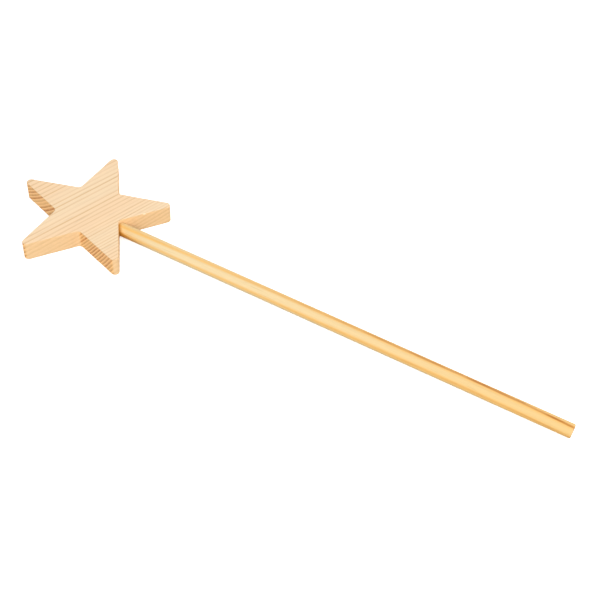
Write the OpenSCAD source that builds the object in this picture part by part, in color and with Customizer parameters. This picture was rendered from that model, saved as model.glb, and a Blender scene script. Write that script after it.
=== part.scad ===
// Toy magic wand: a flat five-pointed star of solid wood, glued on the end of a plain round dowel.
// The wand lies on its back. The star's back face is on z = 0 with the star's centre over the
// origin, and the dowel runs along +X out of a blind hole drilled into the notch between two arms.

/* [Star] */
// Reach of a tip's sharp corner from the star's centre, before the tip is rounded
tip_reach = 52; // [44:0.5:64]
// Reach of a notch's sharp corner from the star's centre, before the notch is rounded
notch_reach = 20; // [17:0.5:24]
// Thickness of the board that the star is cut from
board_t = 12; // [11:0.5:20]
// Radius that rounds each tip, seen from the front
tip_round_r = 2.5; // [1.5:0.1:4]
// Radius that the cutter leaves in each notch, seen from the front
notch_round_r = 3; // [1.5:0.1:5]
// Radius sanded along the edges of the front and back faces
arris_r = 0.7; // [0.3:0.1:1]

/* [Dowel] */
// Diameter of the dowel
dowel_d = 8; // [5:0.5:9]
// Cut length of the dowel, glued end included
dowel_l = 300; // [150:5:450]
// Radius sanded round the free end
free_end_r = 0.6; // [0.2:0.1:1.5]
// Bevel round the glued end
glued_end_bevel = 0.5; // [0.2:0.1:1]
// How much thinner the glued end is sanded, on the diameter, so that it starts in the hole
taper_drop = 0.4; // [0.1:0.1:0.8]
// How far that taper runs out past the mouth of the hole
taper_lead = 1; // [0.5:0.1:5]

/* [Glued joint] */
// Depth of the dowel in the star, from the notch's sharp corner to the dowel's end
glued_depth = 18; // [10:0.5:24]
// Room for glue between the dowel and the wall of the hole
glue_gap = 0.1; // [0.05:0.05:0.3]
// Room for spare glue under the dowel's end
glue_pool = 1; // [0.5:0.1:3]
// Point angle of the drill that made the hole
drill_angle = 118; // [90:1:140]

/* [Hidden] */
$fn = 96;

// How far a cutter reaches past the surface that it cuts
over = 0.5;
// How far a rounding circle crosses the faces that it rounds, so that they meet at a clean edge
corner_bite = 0.03;
arris_bite = 0.01;
// Turn by which the sanding of a notch runs out past its straight edges
notch_run_out = 20;

// The star has five arms, and each is two straight edges from a tip to its notches
arms = 5;
arm_turn = 360 / arms;
half_turn = arm_turn / 2;
notch_corner = turned([notch_reach, 0], half_turn);
tip_half_angle = atan2(notch_corner.y, tip_reach - notch_corner.x);
notch_half_angle = tip_half_angle + half_turn;
edge_l = norm([tip_reach, 0] - notch_corner);

// Centres of the circles that round a tip and a notch, along the middle of each, and the length of
// straight edge that each takes
tip_inset = tip_round_r - corner_bite;
notch_inset = notch_round_r - corner_bite;
tip_centre = tip_reach - tip_inset / sin(tip_half_angle);
notch_centre = notch_reach + notch_inset / sin(notch_half_angle);
notch_taken_l = notch_inset / tan(notch_half_angle);

// The dowel lies on the middle plane of the board
dowel_r = dowel_d / 2;
axis_z = board_t / 2;
dowel_start = notch_reach - glued_depth;

// The mouth of the hole ends where its wall meets the sloping faces of the two arms
hole_r = dowel_r + glue_gap;
hole_mouth = notch_reach + hole_r / tan(notch_half_angle);
hole_l = hole_mouth + over - dowel_start + glue_pool;
taper_l = hole_mouth + taper_lead - dowel_start;
glued_r = dowel_r - taper_drop / 2;

// A point turned about the origin
function turned(p, angle) = [p.x * cos(angle) - p.y * sin(angle), p.x * sin(angle) + p.y * cos(angle)];

// Waste beyond the round end of an arm whose tip points along +X
module tip_waste() {
    start = tip_centre + tip_inset * sin(tip_half_angle);
    half_w = tip_round_r + over;
    difference() {
        translate([start, -half_w]) square([tip_reach + over - start, 2 * half_w]);
        translate([tip_centre, 0]) circle(tip_round_r);
    }
}

// Outline of the star: straight edges between the tips, with the notches cut round and the tips
// rounded off
module star_outline() {
    foot = [notch_reach, 0] + notch_taken_l * [cos(notch_half_angle), sin(notch_half_angle)];
    arm = [[foot.x, -foot.y], foot, turned([tip_reach, 0], half_turn)];
    difference() {
        polygon([for (i = [0 : arms - 1], p = arm) turned(p, i * arm_turn)]);
        for (i = [0 : arms - 1])
            rotate(i * arm_turn) {
                translate([notch_centre, 0]) circle(notch_round_r);
                rotate(half_turn) tip_waste();
            }
    }
}

module star_board() {
    linear_extrude(board_t) star_outline();
}

// Section of the strip sanded off an edge, with the edge at the origin and the wood at -X and -Y
module arris_section() {
    inset = arris_r - arris_bite;
    translate([-inset, -inset]) difference() {
        square(inset + over);
        circle(arris_r);
    }
}

// Strip sanded off both straight edges of one arm, whose tip points along +X
module straight_arris() {
    foot = notch_corner + notch_taken_l * [cos(tip_half_angle), -sin(tip_half_angle)];
    for (side = [0, 1])
        mirror([0, side, 0]) translate([foot.x, foot.y, 0]) rotate([90, 0, 90 - tip_half_angle])
            linear_extrude(edge_l - notch_taken_l) arris_section();
}

// Strip sanded off the round end of an arm, whose tip points along +X
module tip_arris() {
    sweep = 180 - 2 * tip_half_angle;
    translate([tip_centre, 0, 0]) rotate(-sweep / 2) rotate_extrude(angle = sweep)
        translate([tip_round_r, 0]) arris_section();
}

// Strip sanded off the hollow of the notch on +X, carried on a little past the straight edges
module notch_arris() {
    sweep = 180 - 2 * notch_half_angle + 2 * notch_run_out;
    translate([notch_centre, 0, 0]) rotate(180 - sweep / 2) rotate_extrude(angle = sweep)
        translate([notch_round_r, 0]) mirror([1, 0]) arris_section();
}

// Everything sanded off the edges of one face, which lies on z = 0 with the wood below it
module face_arris() {
    for (i = [0 : arms - 1])
        rotate(i * arm_turn) {
            notch_arris();
            rotate(half_turn) straight_arris();
            rotate(half_turn) tip_arris();
        }
}

// Turned solid on the dowel's axis, from a section drawn with +Y along the dowel from its glued end
module on_dowel_axis() {
    translate([dowel_start, 0, axis_z]) rotate([0, 90, 0]) rotate_extrude() children();
}

// Blind hole with the cone that the drill's point leaves
module socket() {
    point_l = hole_r / tan(drill_angle / 2);
    on_dowel_axis() translate([0, -glue_pool])
        polygon([[0, -point_l], [hole_r, 0], [hole_r, hole_l], [0, hole_l]]);
}

// Dowel with a bevelled, slightly tapered glued end and a rounded free end
module dowel_stick() {
    on_dowel_axis() difference() {
        polygon([[0, 0], [glued_r - glued_end_bevel, 0], [glued_r, glued_end_bevel],
            [dowel_r, taper_l], [dowel_r, dowel_l], [0, dowel_l]]);
        translate([dowel_r - free_end_r, dowel_l - free_end_r]) difference() {
            square(free_end_r + over);
            circle(free_end_r);
        }
    }
}

module star() {
    color("burlywood") difference() {
        star_board();
        translate([0, 0, board_t]) face_arris();
        mirror([0, 0, 1]) face_arris();
        socket();
    }
}

module dowel() {
    color("navajowhite") dowel_stick();
}

// Glue that fills the hole round the dowel, wiped flush with the faces of the notch
module glue_film() {
    color("ivory") difference() {
        intersection() {
            star_board();
            socket();
        }
        dowel_stick();
    }
}

star();
dowel();
glue_film();
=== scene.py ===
"""Looks of a toy magic wand: a flat softwood star glued on the end of a plain round dowel.

The packed model is loaded as a fixed frame. The star and the dowel are drawn again as fine surfaces,
each with the grain of its own piece of wood, and the glue keeps its solid and gets a finish.
Lengths in the code are metres. The wood patterns are worked out in millimetres.
"""

import math

import bpy
import numpy as np
from mathutils import Euler, Matrix, Vector


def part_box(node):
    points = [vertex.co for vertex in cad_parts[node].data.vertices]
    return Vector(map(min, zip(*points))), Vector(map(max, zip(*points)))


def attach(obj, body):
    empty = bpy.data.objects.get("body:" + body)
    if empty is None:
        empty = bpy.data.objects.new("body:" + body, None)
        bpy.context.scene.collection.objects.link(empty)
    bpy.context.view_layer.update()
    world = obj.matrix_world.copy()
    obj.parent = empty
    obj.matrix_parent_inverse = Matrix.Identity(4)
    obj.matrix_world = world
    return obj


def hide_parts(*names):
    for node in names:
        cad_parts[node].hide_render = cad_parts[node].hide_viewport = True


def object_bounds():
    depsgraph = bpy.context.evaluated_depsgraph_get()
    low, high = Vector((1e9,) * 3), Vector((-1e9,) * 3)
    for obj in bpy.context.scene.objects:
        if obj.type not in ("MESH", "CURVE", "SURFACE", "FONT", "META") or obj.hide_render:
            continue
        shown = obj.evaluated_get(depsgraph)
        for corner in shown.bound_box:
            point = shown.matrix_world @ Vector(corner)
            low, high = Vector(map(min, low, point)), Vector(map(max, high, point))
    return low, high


bl_info = {
    "name": "Toy Magic Wand",
    "version": (1, 0, 0),
    "blender": (4, 5, 0),
    "location": "View3D > Sidebar > Wand",
    "description": "Builds a wooden star wand, its wood grain and a plain studio round it",
    "category": "Object",
}

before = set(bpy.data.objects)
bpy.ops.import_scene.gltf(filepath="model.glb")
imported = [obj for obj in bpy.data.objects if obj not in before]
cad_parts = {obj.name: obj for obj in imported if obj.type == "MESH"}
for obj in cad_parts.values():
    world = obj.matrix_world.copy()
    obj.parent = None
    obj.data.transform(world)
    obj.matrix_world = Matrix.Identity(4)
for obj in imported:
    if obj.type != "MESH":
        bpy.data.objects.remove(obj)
cad_low, cad_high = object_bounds()

MM = 0.001
PER_M = 1000.0
ARMS = 5
STAR_LOW, STAR_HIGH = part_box("star")
DOWEL_LOW, DOWEL_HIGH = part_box("dowel")
GLUE_LOW, GLUE_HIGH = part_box("glue_film")
# Direction of the dowel from its glued end, and the height of its axis
ALONG = Vector((1, 0, 0))
AXIS_Z = (DOWEL_LOW.z + DOWEL_HIGH.z) / 2


# Sizes and colours that a user would change

def number_setting(name, description, default, **limits):
    """A number that a user can set."""
    return bpy.props.FloatProperty(name=name, description=description, default=default, **limits)


def length_setting(name, description, default, **limits):
    """A length that a user can set."""
    return number_setting(name, description, default, unit="LENGTH", **limits)


def angle_setting(name, description, degrees):
    """An angle that a user can set, given here in degrees."""
    return number_setting(name, description, math.radians(degrees), subtype="ANGLE")


def colour_setting(name, description, default):
    """A colour that a user can set."""
    return bpy.props.FloatVectorProperty(
        name=name, description=description, default=default, subtype="COLOR", min=0, max=1)


class StarSizes(bpy.types.PropertyGroup):
    """Shape of the star."""

    tip_reach: length_setting(
        "Tip reach", "Star's centre to a tip's sharp corner, before rounding", 52 * MM, min=0)
    notch_reach: length_setting(
        "Notch reach", "Star's centre to a notch's sharp corner, before rounding", 20 * MM, min=0)
    tip_round: length_setting(
        "Tip radius", "Radius that rounds each tip, seen from the front", 2.5 * MM, min=0)
    notch_round: length_setting(
        "Notch radius", "Radius left in each notch, seen from the front", 3 * MM, min=0)
    arris: length_setting(
        "Sanded edge", "Mean radius sanded along the edges of both faces", 0.38 * MM, min=0)
    arris_swing: length_setting(
        "Sanding swing", "How far hand sanding makes that radius differ along an edge", 0.1 * MM, min=0)
    side_wave: length_setting(
        "Sawn wave", "How far the sawn sides wander off their straight line", 0.05 * MM, min=0)
    nick_along: length_setting(
        "Nick place",
        "Distance of a small nick from the dowel's notch, along the edge of an arm", 16 * MM, min=0)
    nick_depth: length_setting(
        "Nick depth", "How much deeper the edge is rounded at the nick", 0.5 * MM, min=0)


class StarWood(bpy.types.PropertyGroup):
    """Grain and colours of the star's board."""

    fibre_angle: angle_setting(
        "Fibre angle", "Direction of the fibres in the board, from the dowel's axis", 72.5)
    pith_aside: length_setting(
        "Pith aside", "Distance of the tree's pith from the star's centre, across the fibres", 116 * MM)
    pith_above: length_setting(
        "Pith above", "Distance of the tree's pith above the star's back face", 120 * MM)
    ring_width: length_setting(
        "Ring width",
        "Width of the yearly ring that crosses the middle of the front face", 2.066 * MM, min=0)
    ring_start: number_setting(
        "Ring start", "Part of that ring that lies on the bark side of the middle", -0.194)
    ring_narrowing: number_setting(
        "Ring narrowing", "Rings gained per square millimetre, as they narrow outwards", 0.0011)
    ring_swing: number_setting(
        "Ring swing", "Rings by which good and bad years shift the ring lines", -0.415)
    ring_swing_length: length_setting(
        "Swing length", "Distance over which good and bad years follow each other", 39 * MM, min=0)
    ring_seed: number_setting(
        "Ring seed", "Starts the chance numbers that make each ring line strong or weak", 99259)
    warm_swing_length: length_setting(
        "Warm swing length",
        "Distance over which paler and pinker years follow each other", 29 * MM, min=0)
    # The face colours are paler than the side colours partly because sanding pales the wood and partly as a
    # painted sheen of the light on the faces
    face_early: colour_setting(
        "Face early wood", "Colour of the pale wood of a ring, on the faces", (0.815, 0.63, 0.42))
    face_warm: colour_setting(
        "Face warm wood", "Colour of the pale wood where it is more pink", (0.825, 0.595, 0.38))
    face_late: colour_setting(
        "Face late wood", "Colour of the dark line of a ring, on the faces", (0.67, 0.437, 0.222))
    side_early: colour_setting(
        "Side early wood",
        "Colour of the pale wood of a ring, on sides along the fibres", (0.804, 0.533, 0.279))
    side_late: colour_setting(
        "Side late wood",
        "Colour of the dark line of a ring, on sides along the fibres", (0.703, 0.449, 0.213))
    end_early: colour_setting(
        "End early wood",
        "Colour of the pale wood of a ring, on sides across the fibres", (0.94, 0.56, 0.233))
    end_late: colour_setting(
        "End late wood",
        "Colour of the dark line of a ring, on sides across the fibres", (0.44, 0.19, 0.037))
    end_red: colour_setting(
        "End red wood", "Colour of the redder dark lines, on sides across the fibres", (0.51, 0.18, 0.04))


class DowelLooks(bpy.types.PropertyGroup):
    """Shape details, grain and colours of the dowel."""

    end_round: length_setting("Free end radius", "Radius sanded round the free end", 0.6 * MM, min=0)
    end_bevel: length_setting("Glued end bevel", "Bevel round the glued end", 0.5 * MM, min=0)
    taper_drop: length_setting(
        "Taper drop", "How much thinner the glued end is, on the diameter", 0.4 * MM, min=0)
    taper_length: length_setting("Taper length", "Length of the tapered glued end", 21.9 * MM, min=0)
    mill_wave: length_setting(
        "Milling wave", "How far the milled surface is out of round", 0.015 * MM, min=0)
    pith_turn: angle_setting(
        "Pith turn", "Direction of the tree's pith round the dowel's axis, from straight up", 129.7)
    pith_distance: length_setting(
        "Pith distance", "Distance of the tree's pith from the dowel's axis", 70 * MM, min=0)
    ring_width: length_setting("Ring width", "Width of the yearly rings", 5.4 * MM, min=0)
    ring_rise: length_setting(
        "Ring rise", "Distance of the outer ring line from the dowel's axis, on the bark side", 3.2 * MM)
    near_start: length_setting(
        "Near bend start",
        "Place along the dowel from where the ring lines bend, towards the star", 180 * MM)
    near_bend: number_setting(
        "Near bend", "Millimetres that those lines move to the pith, per square millimetre", 0.000075)
    far_start: length_setting(
        "Far bend start",
        "Place along the dowel from where the ring lines bend, towards the free end", 235 * MM)
    far_bend: number_setting(
        "Far bend", "Millimetres that those lines move to the pith, per square millimetre", 0.00026)
    early: colour_setting(
        "Early wood", "Colour of the pale wood of a ring, by the star", (0.747, 0.583, 0.332))
    early_far: colour_setting(
        "Far early wood", "Colour of the pale wood of a ring, at the free end", (0.707, 0.462, 0.168))
    late: colour_setting("Late wood", "Colour of the dark line of a ring", (0.79, 0.46, 0.138))
    resin: colour_setting(
        "Resin", "Colour of a ring line's core where it is full of resin", (0.45, 0.168, 0.027))
    # The glue stain is partly a real glue stain and partly painted shade: the shade in the gap where the
    # dowel leaves the star, and along its lower side by the star. Its length and turn set where both lie.
    stain_and_shade: colour_setting(
        "Glue stain", "Colour of the wood that drank glue, at the star", (0.45, 0.19, 0.02))
    stain_and_shade_length: length_setting(
        "Stain length", "How far the glue stain runs out along the dowel", 30 * MM, min=0)
    stain_and_shade_turn: angle_setting(
        "Stain turn", "How far round the dowel, from straight down, the glue ran out", 50)
    end_early: colour_setting(
        "End early wood", "Colour of the pale wood of a ring, on the cut ends", (0.76, 0.49, 0.24))
    end_late: colour_setting(
        "End late wood", "Colour of the dark line of a ring, on the cut ends", (0.46, 0.22, 0.075))


class GlueLooks(bpy.types.PropertyGroup):
    """Colours of the dried glue."""

    pale: colour_setting("Pale glue", "Colour of the glue where it is thin", (0.45, 0.28, 0.10))
    deep: colour_setting("Deep glue", "Colour of the glue where it is thick", (0.28, 0.15, 0.05))


class StageSettings(bpy.types.PropertyGroup):
    """Camera, lights and floor."""

    camera_azimuth: angle_setting(
        "Camera azimuth", "Direction of the camera from the wand, from the dowel's axis", -63.094)
    camera_elevation: angle_setting("Camera elevation", "Height of the camera over the horizon", 46.583)
    camera_roll: angle_setting("Camera roll", "Tilt of the camera about its own line of sight", -3.766)
    camera_distance: length_setting(
        "Camera distance", "Distance of the camera from the point that it looks at", 638.6 * MM, min=0)
    camera_aim: bpy.props.FloatVectorProperty(
        name="Camera aim", description="Point at the middle of the picture",
        default=(138.5 * MM, 6.1 * MM, 6 * MM), subtype="TRANSLATION", unit="LENGTH")
    camera_lens: number_setting(
        "Focal length", "Focal length in millimetres, for a picture 36 mm wide", 68.87, min=1)
    floor_colour: colour_setting("Floor", "Colour of the floor", (0.93, 0.93, 0.93))
    floor_radius: length_setting("Floor radius", "Radius of the floor", 4.0, min=0)
    floor_glow: number_setting(
        "Floor glow", "Light of the floor itself, which thins out the shadows", 0.5, min=0)
    sky_level: number_setting(
        "Light from the sides", "Strength of the white surroundings at the horizon", 0.95, min=0)
    sky_far: number_setting(
        "Light from overhead", "Strength of the surroundings overhead and underneath", 0.28, min=0)
    lamp_distance: length_setting(
        "Lamp distance", "Distance of the soft lights from the wand", 1.8, min=0)
    lamp_size: length_setting("Lamp size", "Width of the soft lights", 1.4, min=0)
    key_azimuth: angle_setting(
        "Key azimuth", "Direction of the key light from the wand, from the dowel's axis", -55)
    key_elevation: angle_setting("Key elevation", "Height of the key light over the horizon", 47)
    key_power: number_setting(
        "Key power", "Power of the key light, on the camera's side", 35.0, min=0, unit="POWER")
    fill_azimuth: angle_setting(
        "Fill azimuth", "Direction of the fill light from the wand, from the dowel's axis", 70)
    fill_elevation: angle_setting("Fill elevation", "Height of the fill light over the horizon", 30)
    fill_power: number_setting(
        "Fill power", "Power of the fill light, on the far side of the wand", 16.0, min=0, unit="POWER")


GROUPS = {
    "wand_star_sizes": StarSizes,
    "wand_star_wood": StarWood,
    "wand_dowel": DowelLooks,
    "wand_glue": GlueLooks,
    "wand_stage": StageSettings,
}


# Surfaces

# Steps of each stretch of the star's outline, and of each stretch of its profile
NOTCH_STEPS = 8
EDGE_STEPS = 96
TIP_STEPS = 12
FACE_STEPS = 8
ARRIS_STEPS = 7
SIDE_STEPS = 13
# Steps of each stretch of the dowel, and the sides of the dowel and of its hole
DISC_STEPS = 5
TAPER_STEPS = 11
STICK_STEPS = 219
END_STEPS = 8
DOWEL_SIDES = 120
HOLE_SIDES = 96
# Waves that hand sanding and sawing leave round the star: how many, and the share of each
SANDING_WAVES = ((9, 0.5), (23, 0.3), (41, 0.2))
SAWING_WAVES = ((17, 0.4), (53, 0.4), (97, 0.2))
# Turn between waves that are added up, so that they don't line up
WAVE_TURN = 2.4
# Part of the way round by which the waves of the back's edge are ahead of the front's
BACK_AHEAD = 1 / 3
# Half the width of the nick
NICK_HALF = 0.6 * MM
# Lobes that milling leaves round the dowel: how many, the length on which they wind, and the share of each
LOBES = ((3, 60 * MM, 1.0), (2, -35 * MM, 0.6))


def skin(name, rings):
    """A closed mesh over rings of points, an array of shape (rings, points, 3).

    The first and the last ring are each one point, repeated: they are the poles. Each other ring is
    joined to the next by a band of quads, and each pole to its neighbour by a fan of triangles. The
    rings run anticlockwise seen from the last pole, so that the faces point outwards.
    """
    count, around = rings.shape[:2]
    bands = count - 2
    points = np.concatenate([rings[:1, 0], rings[1:-1].reshape(-1, 3), rings[-1:, 0]])
    here = np.arange(around)
    ahead = (here + 1) % around
    start = 1 + around * np.arange(bands - 1)[:, None]
    quads = np.stack([start + here, start + ahead, start + around + ahead, start + around + here], axis=-1)
    top = 1 + around * (bands - 1)
    first_fan = np.stack([np.zeros_like(here), 1 + ahead, 1 + here], axis=-1)
    last_fan = np.stack([np.full_like(here, len(points) - 1), top + here, top + ahead], axis=-1)
    corners = np.concatenate([first_fan.ravel(), quads.ravel(), last_fan.ravel()])
    sides = np.concatenate([np.full(around, 3), np.full(quads.size // 4, 4), np.full(around, 3)])
    mesh = bpy.data.meshes.new(name)
    mesh.vertices.add(len(points))
    mesh.vertices.foreach_set("co", points.astype(np.float32).ravel())
    mesh.loops.add(len(corners))
    mesh.loops.foreach_set("vertex_index", corners.astype(np.int32))
    mesh.polygons.add(len(sides))
    mesh.polygons.foreach_set("loop_start", (np.cumsum(sides) - sides).astype(np.int32))
    mesh.update(calc_edges=True)
    mesh.validate()
    mesh.shade_smooth()
    return mesh


def new_object(mesh):
    """A new object with that mesh, at the origin."""
    piece = bpy.data.objects.new(mesh.name, mesh)
    bpy.context.scene.collection.objects.link(piece)
    return piece


def ripple(travel, total, waves):
    """Sum of sine waves along an outline of that total length, each given by its number and its share."""
    counts, shares = np.array(waves).T
    turns = 2 * np.pi * travel[:, None] / (total / counts) + WAVE_TURN * np.arange(len(counts))
    return (np.sin(turns) * shares).sum(-1)


def half_arm(sizes):
    """One edge of the star, from the middle of the notch on +X to the middle of the tip on its left.

    It is an arc of the notch, a straight edge and an arc of the tip, each a function of a share from
    0 to 1. Returns points, outward normals and the distance along the edge from the notch's corner.
    """
    turn = math.pi / ARMS
    reach, notch = sizes.tip_reach, sizes.notch_reach
    tip_half = math.atan2(notch * math.sin(turn), reach - notch * math.cos(turn))
    slope = tip_half + turn
    edge = np.array([math.cos(slope), math.sin(slope)])
    outward = np.array([math.sin(slope), -math.cos(slope)])
    tip_way = np.array([math.cos(turn), math.sin(turn)])
    notch_centre = np.array([notch + sizes.notch_round / math.sin(slope), 0])
    tip_centre = (reach - sizes.tip_round / math.sin(tip_half)) * tip_way

    share = np.linspace(0, 1, NOTCH_STEPS + 1)[:-1]
    angle = math.pi - share * (math.pi / 2 - slope)
    notch_normal = -np.stack([np.cos(angle), np.sin(angle)], axis=-1)
    notch_arc = notch_centre - sizes.notch_round * notch_normal

    start = notch_centre - sizes.notch_round * outward
    end = tip_centre + sizes.tip_round * outward
    share = np.linspace(0, 1, EDGE_STEPS + 1)[:-1, None]
    straight = start + share * (end - start)
    straight_normal = np.broadcast_to(outward, straight.shape)

    share = np.linspace(0, 1, TIP_STEPS + 1)
    angle = slope - math.pi / 2 + share * (math.pi / 2 - tip_half)
    tip_normal = np.stack([np.cos(angle), np.sin(angle)], axis=-1)
    tip_arc = tip_centre + sizes.tip_round * tip_normal

    points = np.concatenate([notch_arc, straight, tip_arc])
    normals = np.concatenate([notch_normal, straight_normal, tip_normal])
    return points, normals, (points - [notch, 0]) @ edge


def star_outline(sizes):
    """The whole outline of the star, anticlockwise from the middle of the notch on +X.

    Each arm is one half and its mirror image across the tip, and the arms are turned copies. Returns
    points, outward normals, distance along the edge from its notch, and the side and number of the arm.
    """
    points, normals, along = half_arm(sizes)
    double = 2 * math.pi / ARMS
    mirror = np.array([[math.cos(double), math.sin(double)], [math.sin(double), -math.cos(double)]])
    points = np.concatenate([points[:-1], (points @ mirror)[:0:-1]])
    normals = np.concatenate([normals[:-1], (normals @ mirror)[:0:-1]])
    side = np.repeat([0, 1], len(along) - 1)
    along = np.concatenate([along[:-1], along[:0:-1]])
    angle = double * np.arange(ARMS)
    turns = np.array([[np.cos(angle), -np.sin(angle)], [np.sin(angle), np.cos(angle)]]).transpose(2, 0, 1)
    points = np.einsum("aij,pj->api", turns, points).reshape(-1, 2)
    normals = np.einsum("aij,pj->api", turns, normals).reshape(-1, 2)
    arm = np.repeat(np.arange(ARMS), len(along))
    return points, normals, np.tile(along, ARMS), np.tile(side, ARMS), arm


def star_rings(sizes):
    """Points over the whole star: a profile carried round the outline.

    The profile runs from the middle of the back face to its edge, round a sanded quarter circle, up the
    side, round the front quarter circle and in to the middle of the front face. On a face a point is a
    share of the edge's own point. The radius of the quarter circles and the line of the side differ
    slowly along the outline, as hand work does, and one small nick deepens the front radius.
    """
    points, normals, along, side, arm = star_outline(sizes)
    travel = np.cumsum(np.linalg.norm(np.diff(points, axis=0, prepend=points[-1:]), axis=1))
    total = travel[-1]
    on_nicked_edge = (arm == 0) & (side == 0)
    nick = np.where(on_nicked_edge, np.exp(-((along - sizes.nick_along) / NICK_HALF) ** 2), 0)
    front_arris = sizes.arris + sizes.arris_swing * ripple(travel, total, SANDING_WAVES)
    front_arris = front_arris + sizes.nick_depth * nick
    back_travel = travel + BACK_AHEAD * total
    back_arris = sizes.arris + sizes.arris_swing * ripple(back_travel, total, SANDING_WAVES)
    wave = sizes.side_wave * ripple(travel, total, SAWING_WAVES)

    low, high = STAR_LOW.z, STAR_HIGH.z
    share = np.linspace(0, 1, FACE_STEPS + 1)[:-1]
    quarter = np.linspace(-math.pi / 2, 0, ARRIS_STEPS + 1)
    up_side = np.linspace(0, 1, SIDE_STEPS + 1)[1:-1]

    def level(inset, height):
        """One ring of the profile: the outline moved inwards by inset, at that height."""
        flat = points - normals * (inset - wave)[:, None]
        return np.concatenate([flat, np.broadcast_to(height, travel.shape)[:, None]], axis=1)

    def face(edge, height, shares):
        """Rings on a face: shares of the edge's ring, at one height."""
        flat = shares[:, None, None] * edge[None, :, :2]
        return np.concatenate([flat, np.full(flat.shape[:2] + (1,), height)], axis=2)

    back_edge = level(back_arris, low)
    front_edge = level(front_arris, high)
    back_round = np.stack([level(back_arris * (1 - math.cos(q)), low + back_arris * (1 + math.sin(q)))
                           for q in quarter])
    front_round = np.stack([level(front_arris * (1 - math.cos(q)), high - front_arris * (1 + math.sin(q)))
                            for q in quarter[::-1]])
    straight = high - low - back_arris - front_arris
    sides = np.stack([level(np.zeros_like(wave), low + back_arris + s * straight) for s in up_side])
    return np.concatenate([
        face(back_edge, low, share), back_round, sides, front_round, face(front_edge, high, share[::-1])])


def nick_place(sizes):
    """Middle of the nick, on the front edge from the dowel's notch to the tip on its left."""
    turn = math.pi / ARMS
    notch = Vector((sizes.notch_reach, 0, STAR_HIGH.z))
    tip = Vector((sizes.tip_reach * math.cos(turn), sizes.tip_reach * math.sin(turn), STAR_HIGH.z))
    return notch + (tip - notch).normalized() * sizes.nick_along


def lathe(name, stations, radii, around, out_of_round=0.0):
    """A closed turned mesh on the dowel's axis: a ring of each radius at each station along X.

    Radius at an angle is the station's radius less a small sum of cosine lobes, which wind slowly along
    the axis. Rings under half of the largest radius, on the end faces, have none. The first and the last
    radius are 0.
    """
    angle = 2 * np.pi * np.arange(around) / around
    stations, radii = np.asarray(stations)[:, None], np.asarray(radii)[:, None]
    lobes = sum(share * (1 + np.cos(count * angle + stations / winding)) for count, winding, share in LOBES)
    reach = radii - out_of_round * (radii > radii.max() / 2) * lobes / 2
    x = np.broadcast_to(stations, reach.shape)
    return skin(name, np.stack([x, reach * np.cos(angle), AXIS_Z + reach * np.sin(angle)], axis=-1))


def dowel_profile(looks):
    """Stations and radii of the dowel, from the middle of its glued end to the middle of its free end.

    The glued end is a flat, a bevel and a taper, the stick is straight, and the free end is a quarter
    circle and a flat.
    """
    start, end = DOWEL_LOW.x, DOWEL_HIGH.x
    radius = (DOWEL_HIGH.z - DOWEL_LOW.z) / 2
    glued = radius - looks.taper_drop / 2
    bevel, taper, rounding = looks.end_bevel, looks.taper_length, looks.end_round
    quarter = np.linspace(0, math.pi / 2, END_STEPS + 1)
    disc = np.linspace(0, 1, DISC_STEPS + 1)
    share = np.linspace(0, 1, TAPER_STEPS + 1)
    stick = np.linspace(start + taper, end - rounding, STICK_STEPS + 1)[1:-1]
    stations = np.concatenate([
        np.full(len(disc), start), start + bevel + share * (taper - bevel), stick,
        end - rounding + rounding * np.sin(quarter), np.full(len(disc) - 1, end)])
    radii = np.concatenate([
        disc * (glued - bevel), glued + share * (radius - glued), np.full(len(stick), radius),
        radius - rounding + rounding * np.cos(quarter), disc[-2::-1] * (radius - rounding)])
    return stations, radii


# Finishes

# A smooth step is written as the low and the high end of a value and, where they aren't 0 and 1, the
# results there. Seasons run from 0 in spring to 1 in autumn. Places and distances in the wood are in
# millimetres, and those at the nick and the glue in metres

# Values of the noise node lie mostly within a quarter of 0.5
NOISE_SPREAD = 4.0
# Short bends of a ring line, as a share of its long ones
SHORT_BENDS = 0.4
# Strength of the faintest ring line of all years
FAINTEST_YEAR = 0.3
# Seasons over which the dark line of a ring ends, in the star
LINE_ENDS = (0.95, 1.0)
# Noise at which a resin channel starts and is full
CHANNEL_NOISE = (0.62, 0.95)
# Change of tone and of roughness by the fibres
FIBRE_TONE = 0.045
FIBRE_ROUGHNESS = 0.06

# How far the star's ring lines bend, and the turn of good and bad years at the middle of the star
STAR_WANDER = 0.25
YEARS_TURN = 0.18
# Seasons over which a line darkens on the faces, on sides along the fibres and on sides across them
FACE_LINE = (0.5, 0.93)
SIDE_LINE = (0.3, 0.92)
END_LINE = (0.1, 0.88)
# How much a line's strength differs along it
LINE_WAVER = 0.25
# Share of patches in the warmth of the pale wood, and the ends of that warmth
WARM_PATCHES = 0.35
WARM_ENDS = (-1.4, 1.4)
# Hues of the years whose lines are redder
RED_YEARS = (0.4, 0.8)
# How squarely a face lies flat, and how squarely an end cuts the fibres
FACE_TURN = (0.75, 0.97)
END_TURN = (0.7, 0.99)
# How flat a sanded edge lies where it leaves the side, and where it meets the face
ARRIS_STARTS = (0.15, 0.5)
ARRIS_ENDS = (0.85, 0.99)
# Changes of tone by speckles and resin channels, on sides and on faces, and painted shade on the sanded
# edges
SIDE_SPECKLE, FACE_SPECKLE = 0.045, 0.01
SIDE_CHANNEL, FACE_CHANNEL = -0.03, -0.1
ARRIS_PAINTED_SHADE = -0.14
# Distances from the middle of the nick over which its fresh wood ends
NICK_FRESH = (0.5 * MM, 1.1 * MM)
# Gloss and roughness of the star, and its relief: shares of fibres and lines, and the height
STAR_GLOSS = 0.25
STAR_ROUGHNESS = 0.62
FIBRE_RELIEF, LINE_RELIEF = 0.4, 0.6
STAR_RELIEF = 0.03 * MM

# How far the dowel's ring lines bend
DOWEL_WANDER = 0.1
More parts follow.
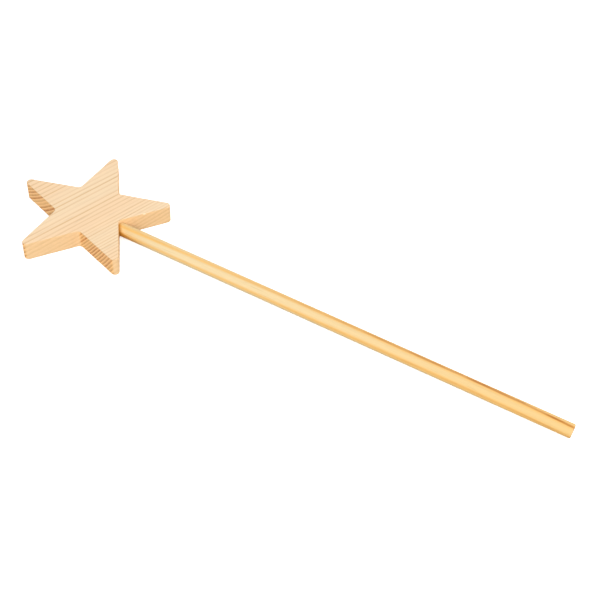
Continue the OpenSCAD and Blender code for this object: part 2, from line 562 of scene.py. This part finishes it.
# Distances past the outer ring line over which the bend by the star grows, and its share on the pith side
PITH_SIDE = (-6.2, -1.7)
PITH_SIDE_BEND = 0.15
# Seasons by which a line darkens sooner, by place along the dowel, and seasons over which it darkens
LINE_SOONER = (20.0, 260.0, -0.08, 0.05)
LINE_DARKENS = (0.68, 0.96)
# Part of a year in which a line pales again, by place along the dowel
LINE_PALES = (35.0, 70.0, 0.5, 0.345)
# Mean strength of a line, and how much it differs
DOWEL_LINE, DOWEL_WAVER = 0.88, 0.1
# Places along the dowel between which the pale wood deepens, and between which lines fill with resin
PALE_DEEPENS = (10.0, 415.0)
RESIN_FILLS = (60.0, 290.0)
# Distances from the middle of a line at which its resin starts and is full
RESIN_EDGE, RESIN_CORE = 0.95, 0.1
# Share of the resin that the next line on the pith side has, and strength of the resin by noise
PITH_SIDE_RESIN = 0.35
RESIN_PATCHES = (-0.6, 0.6, 0.6, 1.1)
# How squarely the cut ends cut the fibres
DOWEL_END_TURN = (0.5, 0.95)
# Change of tone by resin channels
DOWEL_CHANNEL = -0.12
# Warm halo by the mouth of the hole, partly glue drawn into the wood and partly painted shade round the
# joint: a close one on the side where the stain and painted shade lie, and a far one all round
CLOSE_HALO = (1 * MM, 5 * MM, 0.4, 0.0)
HALO_SIDE = (0.0, 1 * MM)
FAR_HALO = (5 * MM, 25 * MM, 0.25, 0.0)
# Heights over the axis, away from the stained and shaded side: where the glue stain and painted shade turn
# short, and where they are faint
STAIN_AND_SHADE_SHORTENS = (-3.9 * MM, -1.4 * MM)
STAIN_AND_SHADE_SHORT = 3 * MM
STAIN_AND_SHADE_FAINT = (2 * MM, 3.4 * MM, 1.0, 0.2)
# Gloss, roughness and relief of the dowel
DOWEL_GLOSS = 0.2
DOWEL_ROUGHNESS = 0.6
DOWEL_RELIEF = 0.015 * MM

# Noise at which the glue is thin and thick, its roughness and how much that differs, and its relief
GLUE_DEPTHS = (-0.6, 0.6)
GLUE_ROUGHNESS, GLUE_SMEAR = 0.38, 0.08
GLUE_RELIEF = 0.02 * MM


class Wiring:
    """Adds shader nodes to a material or a world. Each method returns the output of the node it adds."""

    def __init__(self, owner):
        owner.use_nodes = True
        self.owner = owner
        self.tree = owner.node_tree
        self.tree.nodes.clear()

    def node(self, kind, inputs, **settings):
        """A node of that kind, with its settings, and its sockets set to a value or linked."""
        made = self.tree.nodes.new(kind)
        for name, value in settings.items():
            setattr(made, name, value)
        for name, value in inputs.items():
            socket = made.inputs[name]
            if isinstance(value, bpy.types.NodeSocket):
                self.tree.links.new(value, socket)
            else:
                socket.default_value = value
        return made

    def math(self, operation, *values):
        """Arithmetic with numbers."""
        return self.node("ShaderNodeMath", dict(enumerate(values)), operation=operation).outputs[0]

    def vector(self, operation, *values):
        """Arithmetic with vectors, whose result is a vector or a number."""
        made = self.node("ShaderNodeVectorMath", dict(enumerate(values)), operation=operation)
        scalar = operation in ("LENGTH", "DISTANCE", "DOT_PRODUCT")
        return made.outputs["Value" if scalar else "Vector"]

    def scale(self, value, factor):
        """A colour or vector times a number."""
        return self.node("ShaderNodeVectorMath", {0: value, "Scale": factor}, operation="SCALE").outputs[0]

    def ramp(self, value, low, high, to_low=0.0, to_high=1.0):
        """Smooth step of value, from to_low at low to to_high at high."""
        inputs = {0: value, 1: low, 2: high, 3: to_low, 4: to_high}
        return self.node("ShaderNodeMapRange", inputs, interpolation_type="SMOOTHSTEP").outputs[0]

    def fade(self, value, low, high):
        """Smooth step of value down from 1 at low to 0 at high."""
        return self.ramp(value, low, high, 1.0, 0.0)

    def between(self, share, first, second):
        """Number between two fixed numbers."""
        return self.math("MULTIPLY_ADD", share, second - first, first)

    def mix(self, share, first, second):
        """Colour between two colours."""
        inputs = {0: share, 6: first, 7: second}
        return self.node("ShaderNodeMix", inputs, data_type="RGBA").outputs[2]

    def noise(self, place, across, along, detail=2.0, roughness=0.5):
        """Noise about 0, mostly from -1 to 1, with so many waves per unit across and along Y."""
        where = self.vector("MULTIPLY", place, (across, along, across))
        inputs = {"Vector": where, "Scale": 1.0, "Detail": detail, "Roughness": roughness}
        made = self.node("ShaderNodeTexNoise", inputs, noise_dimensions="3D")
        return self.math("MULTIPLY_ADD", made.outputs[0], NOISE_SPREAD, -NOISE_SPREAD / 2)

    def place(self):
        """Place on the piece, in metres."""
        return self.node("ShaderNodeTexCoord", {}).outputs["Object"]

    def facing(self, direction):
        """How squarely the surface faces along a direction or against it, from 0, edge on, to 1."""
        normal = self.node("ShaderNodeTexCoord", {}).outputs["Normal"]
        return self.math("ABSOLUTE", self.vector("DOT_PRODUCT", normal, direction))


def rgba(colour):
    """That colour, opaque."""
    return (*colour, 1.0)


def tree_place(wiring, turn, pith):
    """Place in the tree, in millimetres: the fibres run along Y, and the pith is the Y axis.

    turn carries the piece's axes to the tree's, and pith is then added.
    """
    inputs = {"Vector": wiring.place(), "Scale": (PER_M,) * 3, "Rotation": turn, "Location": pith}
    return wiring.node("ShaderNodeMapping", inputs).outputs[0]


def ring_distance(wiring, place, wander):
    """Distance from the pith, bent by two noises that are drawn out along the fibres."""
    across = wiring.vector("LENGTH", wiring.vector("MULTIPLY", place, (1, 0, 1)))
    long_bends = wiring.noise(place, across=0.02, along=0.004, detail=1.0)
    short_bends = wiring.noise(place, across=0.22, along=0.02)
    bent = wiring.math("MULTIPLY_ADD", long_bends, wander, across)
    return wiring.math("MULTIPLY_ADD", short_bends, SHORT_BENDS * wander, bent)


def ring_years(wiring, number, seed):
    """Year and season of each place in the wood, from its ring number.

    The whole part of the number is the year, and the rest is the season, from 0 in spring to 1 in autumn.
    Chance gives each year its strength and its hue. Returns season, strength and hue.
    """
    season = wiring.math("FRACT", number)
    year = wiring.math("ADD", wiring.math("FLOOR", number), seed)
    chance = wiring.node("ShaderNodeTexWhiteNoise", {"W": year}, noise_dimensions="1D").outputs
    strength = wiring.between(chance["Value"], FAINTEST_YEAR, 1.0)
    hue = wiring.vector("DOT_PRODUCT", chance["Color"], (1, 0, 0))
    return season, strength, hue


def late_line(wiring, season, start, full):
    """The dark line of late wood: it darkens slowly between two seasons and ends sharply in autumn."""
    return wiring.math("MULTIPLY", wiring.ramp(season, start, full), wiring.fade(season, *LINE_ENDS))


def streaks(wiring, place):
    """Fine detail of wood, drawn out along the fibres: fibres about 0, and short dark resin channels."""
    fibre = wiring.noise(place, across=1.7, along=0.05, detail=5.0, roughness=0.62)
    channel = wiring.noise(place, across=1.1, along=0.05, detail=1.0)
    return fibre, wiring.ramp(channel, *CHANNEL_NOISE)


def surface(wiring, colour, roughness, height, relief, **sockets):
    """The finish itself: a dielectric with that colour and roughness, and a bump of height times relief."""
    bump = wiring.node("ShaderNodeBump", {"Strength": 1.0, "Distance": relief, "Height": height})
    shader = wiring.node("ShaderNodeBsdfPrincipled", {
        "Base Color": colour, "Roughness": roughness, "Normal": bump.outputs[0], **sockets})
    wiring.node("ShaderNodeOutputMaterial", {"Surface": shader.outputs[0]})
    return wiring.owner


def years_wave(wiring, past, length):
    """Sine wave of good and bad years, by the distance past the middle ring, with that wavelength."""
    turns = wiring.math("MULTIPLY_ADD", past, 2 * math.pi / (length * PER_M), YEARS_TURN)
    return wiring.math("SINE", turns)


def star_years(wiring, wood, past):
    """Ring number of each place in the star's board, from its distance past the middle ring.

    It is a straight line, plus a square because the rings narrow outwards, plus a wave of good and bad
    years.
    """
    steady = wiring.math("MULTIPLY_ADD", past, 1 / (wood.ring_width * PER_M), wood.ring_start)
    square = wiring.math("MULTIPLY", past, past)
    number = wiring.math("MULTIPLY_ADD", square, wood.ring_narrowing, steady)
    swing = years_wave(wiring, past, wood.ring_swing_length)
    return wiring.math("MULTIPLY_ADD", swing, wood.ring_swing, number)


def star_finish(wood, nick):
    """Bare sanded softwood of the star's board, with fresh pale wood in the nick.

    The faces show pale rings with soft lines, paler partly from sanding and partly by a painted sheen,
    the sides along the fibres are deeper in colour with faint lines, and the sides across the fibres show
    strong brown lines, because open fibre ends drink in light.
    """
    wiring = Wiring(bpy.data.materials.new("star_wood"))
    turn = Euler((0, 0, math.pi / 2 - wood.fibre_angle))
    place = tree_place(wiring, turn, (wood.pith_aside * PER_M, 0, -wood.pith_above * PER_M))
    middle = math.hypot(wood.pith_aside, wood.pith_above - STAR_HIGH.z) * PER_M
    past = wiring.math("SUBTRACT", ring_distance(wiring, place, STAR_WANDER), middle)
    season, strength, hue = ring_years(wiring, star_years(wiring, wood, past), wood.ring_seed)
    waver = wiring.noise(place, across=0.4, along=0.05)
    waver = wiring.math("MULTIPLY_ADD", waver, LINE_WAVER, 1.0)
    boldness = wiring.math("MULTIPLY", strength, waver)
    face_line, side_line, end_line = [
        wiring.math("MULTIPLY", late_line(wiring, season, *seasons), boldness)
        for seasons in (FACE_LINE, SIDE_LINE, END_LINE)]

    patches = wiring.noise(place, across=0.2, along=0.03)
    warmth = years_wave(wiring, past, wood.warm_swing_length)
    warmth = wiring.ramp(wiring.math("MULTIPLY_ADD", patches, WARM_PATCHES, warmth), *WARM_ENDS)
    face = wiring.mix(warmth, rgba(wood.face_early), rgba(wood.face_warm))
    face = wiring.mix(face_line, face, rgba(wood.face_late))
    side = wiring.mix(side_line, rgba(wood.side_early), rgba(wood.side_late))
    dark = wiring.mix(wiring.ramp(hue, *RED_YEARS), rgba(wood.end_late), rgba(wood.end_red))
    end = wiring.mix(end_line, rgba(wood.end_early), dark)
    upright = wiring.facing((0, 0, 1))
    on_face = wiring.ramp(upright, *FACE_TURN)
    fibre_way = (math.cos(wood.fibre_angle), math.sin(wood.fibre_angle), 0)
    on_end = wiring.ramp(wiring.facing(fibre_way), *END_TURN)
    # Faces get the paler face colours, which hold a painted sheen
    colour = wiring.mix(on_face, wiring.mix(on_end, side, end), face)

    fibre, channel = streaks(wiring, place)
    speckle = wiring.noise(place, across=1.5, along=0.25, detail=3.0, roughness=0.6)
    # Painted shade on the sanded edges: they are darkened between the side and the face
    shaded_arris = wiring.ramp(upright, *ARRIS_STARTS)
    shaded_arris = wiring.math("MULTIPLY", shaded_arris, wiring.fade(upright, *ARRIS_ENDS))
    tone = wiring.math("MULTIPLY_ADD", fibre, FIBRE_TONE, 1.0)
    tone = wiring.math("MULTIPLY_ADD", speckle, wiring.between(on_face, SIDE_SPECKLE, FACE_SPECKLE), tone)
    tone = wiring.math("MULTIPLY_ADD", channel, wiring.between(on_face, SIDE_CHANNEL, FACE_CHANNEL), tone)
    tone = wiring.math("MULTIPLY_ADD", shaded_arris, ARRIS_PAINTED_SHADE, tone)
    colour = wiring.scale(colour, tone)

    fresh = wiring.fade(wiring.vector("DISTANCE", wiring.place(), nick), *NICK_FRESH)
    colour = wiring.mix(fresh, colour, rgba(wood.face_early))
    roughness = wiring.math("MULTIPLY_ADD", fibre, FIBRE_ROUGHNESS, STAR_ROUGHNESS)
    height = wiring.math("MULTIPLY", face_line, LINE_RELIEF)
    height = wiring.math("MULTIPLY_ADD", fibre, FIBRE_RELIEF, height)
    return surface(wiring, colour, roughness, height, STAR_RELIEF, **{"Specular IOR Level": STAR_GLOSS})


def dowel_tree(wiring, looks):
    """Place of the dowel in its tree, with the pith to the side that pith_turn gives."""
    pith_way = Vector((0, -math.sin(looks.pith_turn), math.cos(looks.pith_turn)))
    turn = Matrix((ALONG.cross(pith_way), ALONG, pith_way)).to_euler()
    axis = turn.to_matrix() @ Vector((0, 0, AXIS_Z))
    pith = -axis * PER_M - Vector((0, 0, looks.pith_distance * PER_M))
    return tree_place(wiring, turn, pith)


def dowel_rings(wiring, looks, place, travel):
    """Distance past the dowel's outer ring line, in millimetres, larger towards the bark.

    The ring lines bend towards the pith at both ends of the dowel, by the square of the distance from
    where each bend starts. The bend by the star is weaker on the pith side.
    """
    outer_line = (looks.pith_distance + looks.ring_rise) * PER_M
    past = wiring.math("SUBTRACT", ring_distance(wiring, place, DOWEL_WANDER), outer_line)
    near = wiring.math("MAXIMUM", wiring.math("SUBTRACT", looks.near_start * PER_M, travel), 0.0)
    far = wiring.math("MAXIMUM", wiring.math("SUBTRACT", travel, looks.far_start * PER_M), 0.0)
    near_bend = wiring.ramp(past, *PITH_SIDE, PITH_SIDE_BEND * looks.near_bend, looks.near_bend)
    past = wiring.math("MULTIPLY_ADD", wiring.math("MULTIPLY", near, near), near_bend, past)
    return wiring.math("MULTIPLY_ADD", wiring.math("MULTIPLY", far, far), looks.far_bend, past)


def dowel_line(wiring, place, travel, season):
    """The dark line of a ring in the dowel: it darkens slowly in autumn and pales slowly in spring."""
    sooner = wiring.math("ADD", season, wiring.ramp(travel, *LINE_SOONER))
    darkens = wiring.ramp(sooner, *LINE_DARKENS)
    pales = wiring.fade(season, 0.0, wiring.ramp(travel, *LINE_PALES))
    waver = wiring.noise(place, across=0.3, along=0.02)
    waver = wiring.math("MULTIPLY_ADD", waver, DOWEL_WAVER, DOWEL_LINE)
    return wiring.math("MULTIPLY", wiring.math("MAXIMUM", darkens, pales), waver)


def dowel_resin(wiring, looks, place, travel, past, season):
    """Resin in the core of the dowel's ring lines: more towards the free end and the bark, in patches."""
    off_middle = wiring.math("ABSOLUTE", wiring.math("SUBTRACT", season, 0.5))
    ring = looks.ring_width * PER_M
    core = wiring.ramp(off_middle, 0.5 - RESIN_EDGE / ring, 0.5 - RESIN_CORE / ring)
    resin = wiring.math("MULTIPLY", wiring.ramp(travel, *RESIN_FILLS), core)
    resin = wiring.math("MULTIPLY", resin, wiring.ramp(past, -ring, 0.0, PITH_SIDE_RESIN, 1.0))
    patches = wiring.ramp(wiring.noise(place, across=0.3, along=0.07), *RESIN_PATCHES)
    return wiring.math("MULTIPLY", resin, patches)


def glue_place(wiring, looks, notch_reach):
    """Place on the dowel against the mouth of its hole, in metres.

    The mouth follows the two faces of the notch, so it lies further out at the sides of the dowel than
    over its axis. Returns the distance past the mouth along the dowel, and the height over the axis,
    away from the side where the glue stain and the painted shade lie.
    """
    where = wiring.place()
    away = Vector((0, math.sin(looks.stain_and_shade_turn), math.cos(looks.stain_and_shade_turn)))
    height = wiring.math("SUBTRACT", wiring.vector("DOT_PRODUCT", where, away), away.z * AXIS_Z)
    aside = wiring.math("ABSOLUTE", wiring.vector("DOT_PRODUCT", where, (0, 1, 0)))
    slope = (GLUE_HIGH.x - notch_reach) / GLUE_HIGH.y
    mouth = wiring.math("MULTIPLY_ADD", aside, slope, notch_reach)
    past_mouth = wiring.math("SUBTRACT", wiring.vector("DOT_PRODUCT", where, ALONG), mouth)
    return past_mouth, height


def dowel_finish(looks, notch_reach):
    """Bare milled wood of the dowel, with wide rings that run almost along it.

    The ring lines bend towards the pith at both ends, and towards the free end their core is dark with
    resin. At the star the wood is darkened by a glue stain and by painted shade, most on one side and at
    the mouth of the hole, and a faint warm halo, partly painted shade, goes on past it.
    """
    wiring = Wiring(bpy.data.materials.new("dowel_wood"))
    place = dowel_tree(wiring, looks)
    travel = wiring.vector("DOT_PRODUCT", place, (0, 1, 0))
    past = dowel_rings(wiring, looks, place, travel)
    season = wiring.math("FRACT", wiring.math("DIVIDE", past, looks.ring_width * PER_M))
    line = dowel_line(wiring, place, travel, season)
    past_mouth, height = glue_place(wiring, looks, notch_reach)
    # Warm halo by the star: partly glue drawn into the wood, partly painted shade round the joint
    halo = wiring.math("MULTIPLY", wiring.ramp(past_mouth, *CLOSE_HALO), wiring.fade(height, *HALO_SIDE))
    halo = wiring.math("ADD", halo, wiring.ramp(past_mouth, *FAR_HALO))
    line = wiring.math("MULTIPLY_ADD", wiring.math("SUBTRACT", 1.0, line), halo, line)

    early = wiring.mix(wiring.ramp(travel, *PALE_DEEPENS), rgba(looks.early), rgba(looks.early_far))
    long = wiring.mix(line, early, rgba(looks.late))
    resin = dowel_resin(wiring, looks, place, travel, past, season)
    long = wiring.mix(resin, long, rgba(looks.resin))
    end = wiring.mix(line, rgba(looks.end_early), rgba(looks.end_late))
    colour = wiring.mix(wiring.ramp(wiring.facing(ALONG), *DOWEL_END_TURN), long, end)
    fibre, channel = streaks(wiring, place)
    tone = wiring.math("MULTIPLY_ADD", fibre, FIBRE_TONE, 1.0)
    tone = wiring.math("MULTIPLY_ADD", channel, DOWEL_CHANNEL, tone)
    colour = wiring.scale(colour, tone)

    # Glue stain and painted shade by the star: darkest at the mouth of the hole, and running furthest on
    # the side turned down and towards -Y
    reach = wiring.ramp(height, *STAIN_AND_SHADE_SHORTENS, looks.stain_and_shade_length, STAIN_AND_SHADE_SHORT)
    stain_and_shade = wiring.fade(past_mouth, 0.0, reach)
    stain_and_shade = wiring.math("MULTIPLY", stain_and_shade, wiring.ramp(height, *STAIN_AND_SHADE_FAINT))
    colour = wiring.mix(stain_and_shade, colour, rgba(looks.stain_and_shade))
    roughness = wiring.math("MULTIPLY_ADD", fibre, FIBRE_ROUGHNESS, DOWEL_ROUGHNESS)
    return surface(wiring, colour, roughness, fibre, DOWEL_RELIEF, **{"Specular IOR Level": DOWEL_GLOSS})


def glue_finish(looks):
    """Dried wood glue: a yellowish, slightly glossy film, deeper in colour where it is thick."""
    wiring = Wiring(bpy.data.materials.new("dried_glue"))
    place = wiring.scale(wiring.place(), PER_M)
    cloud = wiring.noise(place, across=1.1, along=1.1, detail=3.0)
    colour = wiring.mix(wiring.ramp(cloud, *GLUE_DEPTHS), rgba(looks.pale), rgba(looks.deep))
    roughness = wiring.math("MULTIPLY_ADD", cloud, GLUE_SMEAR, GLUE_ROUGHNESS)
    return surface(wiring, colour, roughness, cloud, GLUE_RELIEF)


# Operators

# Half of the drill's point angle, and how far its shank reaches past the mouth of the hole
DRILL_HALF_ANGLE = math.radians(59)
DRILL_OVER = 5 * MM
# Angle from which an edge is drawn sharp
SHARP_ANGLE = math.radians(35)
# How far a piece's box may differ from its solid's box
STAR_ROOM = 0.3 * MM
DOWEL_ROOM = 0.2 * MM
# Width of the picture that the focal length is given for, in millimetres
FILM_WIDTH = 36
# Heights, as sines, between which the light of the surroundings falls off
SKY_FALL = (0.12, 0.6)
# Corners of the floor, its roughness and relief, waves of its mottling per metre, and the darkest of it
FLOOR_CORNERS = 64
FLOOR_ROUGHNESS = 0.9
FLOOR_RELIEF = 0.01 * MM
MOTTLE_WAVES = 9
MOTTLE_SHADE = 0.985
WHITE = (1, 1, 1, 1)


def dress(piece, finish, node):
    """Gives a new piece its finish and its place in the frame."""
    piece.data.materials.clear()
    piece.data.materials.append(finish)
    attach(piece, "root")
    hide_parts(node)


def check_fit(piece, low, high, room):
    """Raises an error if a piece's box differs from its solid's box by more than room."""
    corners = np.empty(3 * len(piece.data.vertices), dtype=np.float32)
    piece.data.vertices.foreach_get("co", corners)
    corners = corners.reshape(-1, 3)
    off = max(np.abs(corners.min(0) - low).max(), np.abs(corners.max(0) - high).max())
    if off > room:
        raise RuntimeError(f"{piece.name} is {off / MM:.2f} mm off its solid")


def bearing(azimuth, elevation):
    """Unit vector in that direction: azimuth from the dowel's axis, elevation from the horizon."""
    level = math.cos(elevation)
    return Vector((level * math.cos(azimuth), level * math.sin(azimuth), math.sin(elevation)))


def drill_bit():
    """The drill that makes the dowel's hole: the outer shape of the glue, carried on past its mouth."""
    radius = (GLUE_HIGH.y - GLUE_LOW.y) / 2
    point = radius / math.tan(DRILL_HALF_ANGLE)
    end = GLUE_HIGH.x + DRILL_OVER
    return lathe("drill", [GLUE_LOW.x, GLUE_LOW.x + point, end, end], [0, radius, radius, 0], HOLE_SIDES)


class WAND_OT_star(bpy.types.Operator):
    """Builds the star with its sanded edges and the hole for the dowel"""

    bl_idname = "wand.star"
    bl_label = "Build star"

    def execute(self, context):
        scene = context.scene
        board = new_object(skin("wooden_star", star_rings(scene.wand_star_sizes)))
        drill = new_object(drill_bit())
        hole = board.modifiers.new("dowel_hole", "BOOLEAN")
        hole.object = drill
        hole.operation = "DIFFERENCE"
        hole.solver = "MANIFOLD"
        drilled = bpy.data.meshes.new_from_object(board.evaluated_get(context.evaluated_depsgraph_get()))
        board.modifiers.clear()
        board.data = drilled
        board.data.name = board.name
        bpy.data.objects.remove(drill)
        board.data.set_sharp_from_angle(angle=SHARP_ANGLE)
        check_fit(board, STAR_LOW, STAR_HIGH, STAR_ROOM)
        finish = star_finish(scene.wand_star_wood, nick_place(scene.wand_star_sizes))
        dress(board, finish, "star")
        return {"FINISHED"}


class WAND_OT_dowel(bpy.types.Operator):
    """Builds the dowel with its tapered glued end and its sanded free end"""

    bl_idname = "wand.dowel"
    bl_label = "Build dowel"

    def execute(self, context):
        looks = context.scene.wand_dowel
        stations, radii = dowel_profile(looks)
        stick = new_object(lathe("wooden_dowel", stations, radii, DOWEL_SIDES, looks.mill_wave))
        stick.data.set_sharp_from_angle(angle=SHARP_ANGLE)
        check_fit(stick, DOWEL_LOW, DOWEL_HIGH, DOWEL_ROOM)
        finish = dowel_finish(looks, context.scene.wand_star_sizes.notch_reach)
        dress(stick, finish, "dowel")
        return {"FINISHED"}


class WAND_OT_glue(bpy.types.Operator):
    """Gives the glue round the dowel its finish"""

    bl_idname = "wand.glue"
    bl_label = "Finish glue"

    def execute(self, context):
        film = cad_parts["glue_film"]
        film.data.materials.clear()
        film.data.materials.append(glue_finish(context.scene.wand_glue))
        return {"FINISHED"}


class WAND_OT_stage(bpy.types.Operator):
    """Builds the camera, the lights and the pale floor"""

    bl_idname = "wand.stage"
    bl_label = "Build stage"

    def execute(self, context):
        settings = context.scene.wand_stage
        self.camera(context.scene, settings)
        self.lights(context.scene, settings)
        self.floor(settings)
        context.scene.view_settings.view_transform = "Standard"
        return {"FINISHED"}

    def camera(self, scene, settings):
        """The camera looks at its aim from a direction and a distance, tilted by its roll."""
        back = bearing(settings.camera_azimuth, settings.camera_elevation)
        level_up = (Vector((0, 0, 1)) - back * back.z).normalized()
        level_right = level_up.cross(back)
        up = level_up * math.cos(settings.camera_roll) + level_right * math.sin(settings.camera_roll)
        turn = Matrix((up.cross(back), up, back)).transposed()
        data = bpy.data.cameras.new("camera")
        data.lens = settings.camera_lens
        data.sensor_width = FILM_WIDTH
        camera = bpy.data.objects.new("camera", data)
        stand = Vector(settings.camera_aim) + back * settings.camera_distance
        camera.matrix_world = Matrix.Translation(stand) @ turn.to_4x4()
        scene.collection.objects.link(camera)
        scene.camera = camera

    def lights(self, scene, settings):
        """White surroundings, brightest at the horizon, and two soft square lamps that face the wand."""
        scene.world = bpy.data.worlds.new("surroundings")
        wiring = Wiring(scene.world)
        way = wiring.node("ShaderNodeTexCoord", {}).outputs["Generated"]
        height = wiring.math("ABSOLUTE", wiring.vector("DOT_PRODUCT", way, (0, 0, 1)))
        strength = wiring.ramp(height, *SKY_FALL, settings.sky_level, settings.sky_far)
        sky = wiring.node("ShaderNodeBackground", {"Color": WHITE, "Strength": strength})
        wiring.node("ShaderNodeOutputWorld", {"Surface": sky.outputs[0]})
        middle = (Vector(cad_low) + Vector(cad_high)) / 2
        for name in ("key", "fill"):
            data = bpy.data.lights.new(name, "AREA")
            data.energy = getattr(settings, name + "_power")
            data.size = settings.lamp_size
            lamp = bpy.data.objects.new(name, data)
            way = bearing(getattr(settings, name + "_azimuth"), getattr(settings, name + "_elevation"))
            lamp.location = middle + way * settings.lamp_distance
            lamp.rotation_euler = way.to_track_quat("Z", "Y").to_euler()
            scene.collection.objects.link(lamp)

    def floor(self, settings):
        """The wand rests on two tips and the end of the dowel, so the floor lies through those points."""
        rise = (DOWEL_LOW.z - STAR_LOW.z) / (DOWEL_HIGH.x - STAR_HIGH.x)
        middle = (STAR_LOW.x + DOWEL_HIGH.x) / 2
        angle = np.linspace(0, 2 * np.pi, FLOOR_CORNERS, endpoint=False)
        x = middle + settings.floor_radius * np.cos(angle)
        y = settings.floor_radius * np.sin(angle)
        z = STAR_LOW.z + rise * (x - STAR_HIGH.x)
        mesh = bpy.data.meshes.new("floor")
        mesh.from_pydata(np.stack([x, y, z], axis=-1).tolist(), [], [list(range(FLOOR_CORNERS))])
        floor = new_object(mesh)
        wiring = Wiring(bpy.data.materials.new("floor_paper"))
        cloud = wiring.noise(wiring.place(), across=MOTTLE_WAVES, along=MOTTLE_WAVES)
        shade = tuple(MOTTLE_SHADE * c for c in settings.floor_colour)
        colour = wiring.mix(wiring.ramp(cloud, -1, 1), rgba(settings.floor_colour), rgba(shade))
        mesh.materials.append(surface(wiring, colour, FLOOR_ROUGHNESS, cloud, FLOOR_RELIEF, **{
            "Emission Color": WHITE, "Emission Strength": settings.floor_glow}))
        floor.visible_diffuse = False


class WAND_PT_panel(bpy.types.Panel):
    """Sizes, colours and operators of the wand"""

    bl_idname = "WAND_PT_panel"
    bl_label = "Toy magic wand"
    bl_space_type = "VIEW_3D"
    bl_region_type = "UI"
    bl_category = "Wand"

    def draw(self, context):
        for operator in OPERATORS:
            self.layout.operator(operator.bl_idname)
        for name, group in GROUPS.items():
            box = self.layout.box()
            box.label(text=group.__doc__)
            for field in group.__annotations__:
                box.prop(getattr(context.scene, name), field)


OPERATORS = (WAND_OT_star, WAND_OT_dowel, WAND_OT_glue, WAND_OT_stage)
CLASSES = (*GROUPS.values(), *OPERATORS, WAND_PT_panel)


def register():
    for cls in CLASSES:
        bpy.utils.register_class(cls)
    for name, group in GROUPS.items():
        setattr(bpy.types.Scene, name, bpy.props.PointerProperty(type=group))


def unregister():
    for name in GROUPS:
        delattr(bpy.types.Scene, name)
    for cls in reversed(CLASSES):
        bpy.utils.unregister_class(cls)


def main():
    """Builds every piece and the stage."""
    register()
    bpy.ops.wand.star()
    bpy.ops.wand.dowel()
    bpy.ops.wand.glue()
    bpy.ops.wand.stage()


if __name__ == "__main__":
    main()
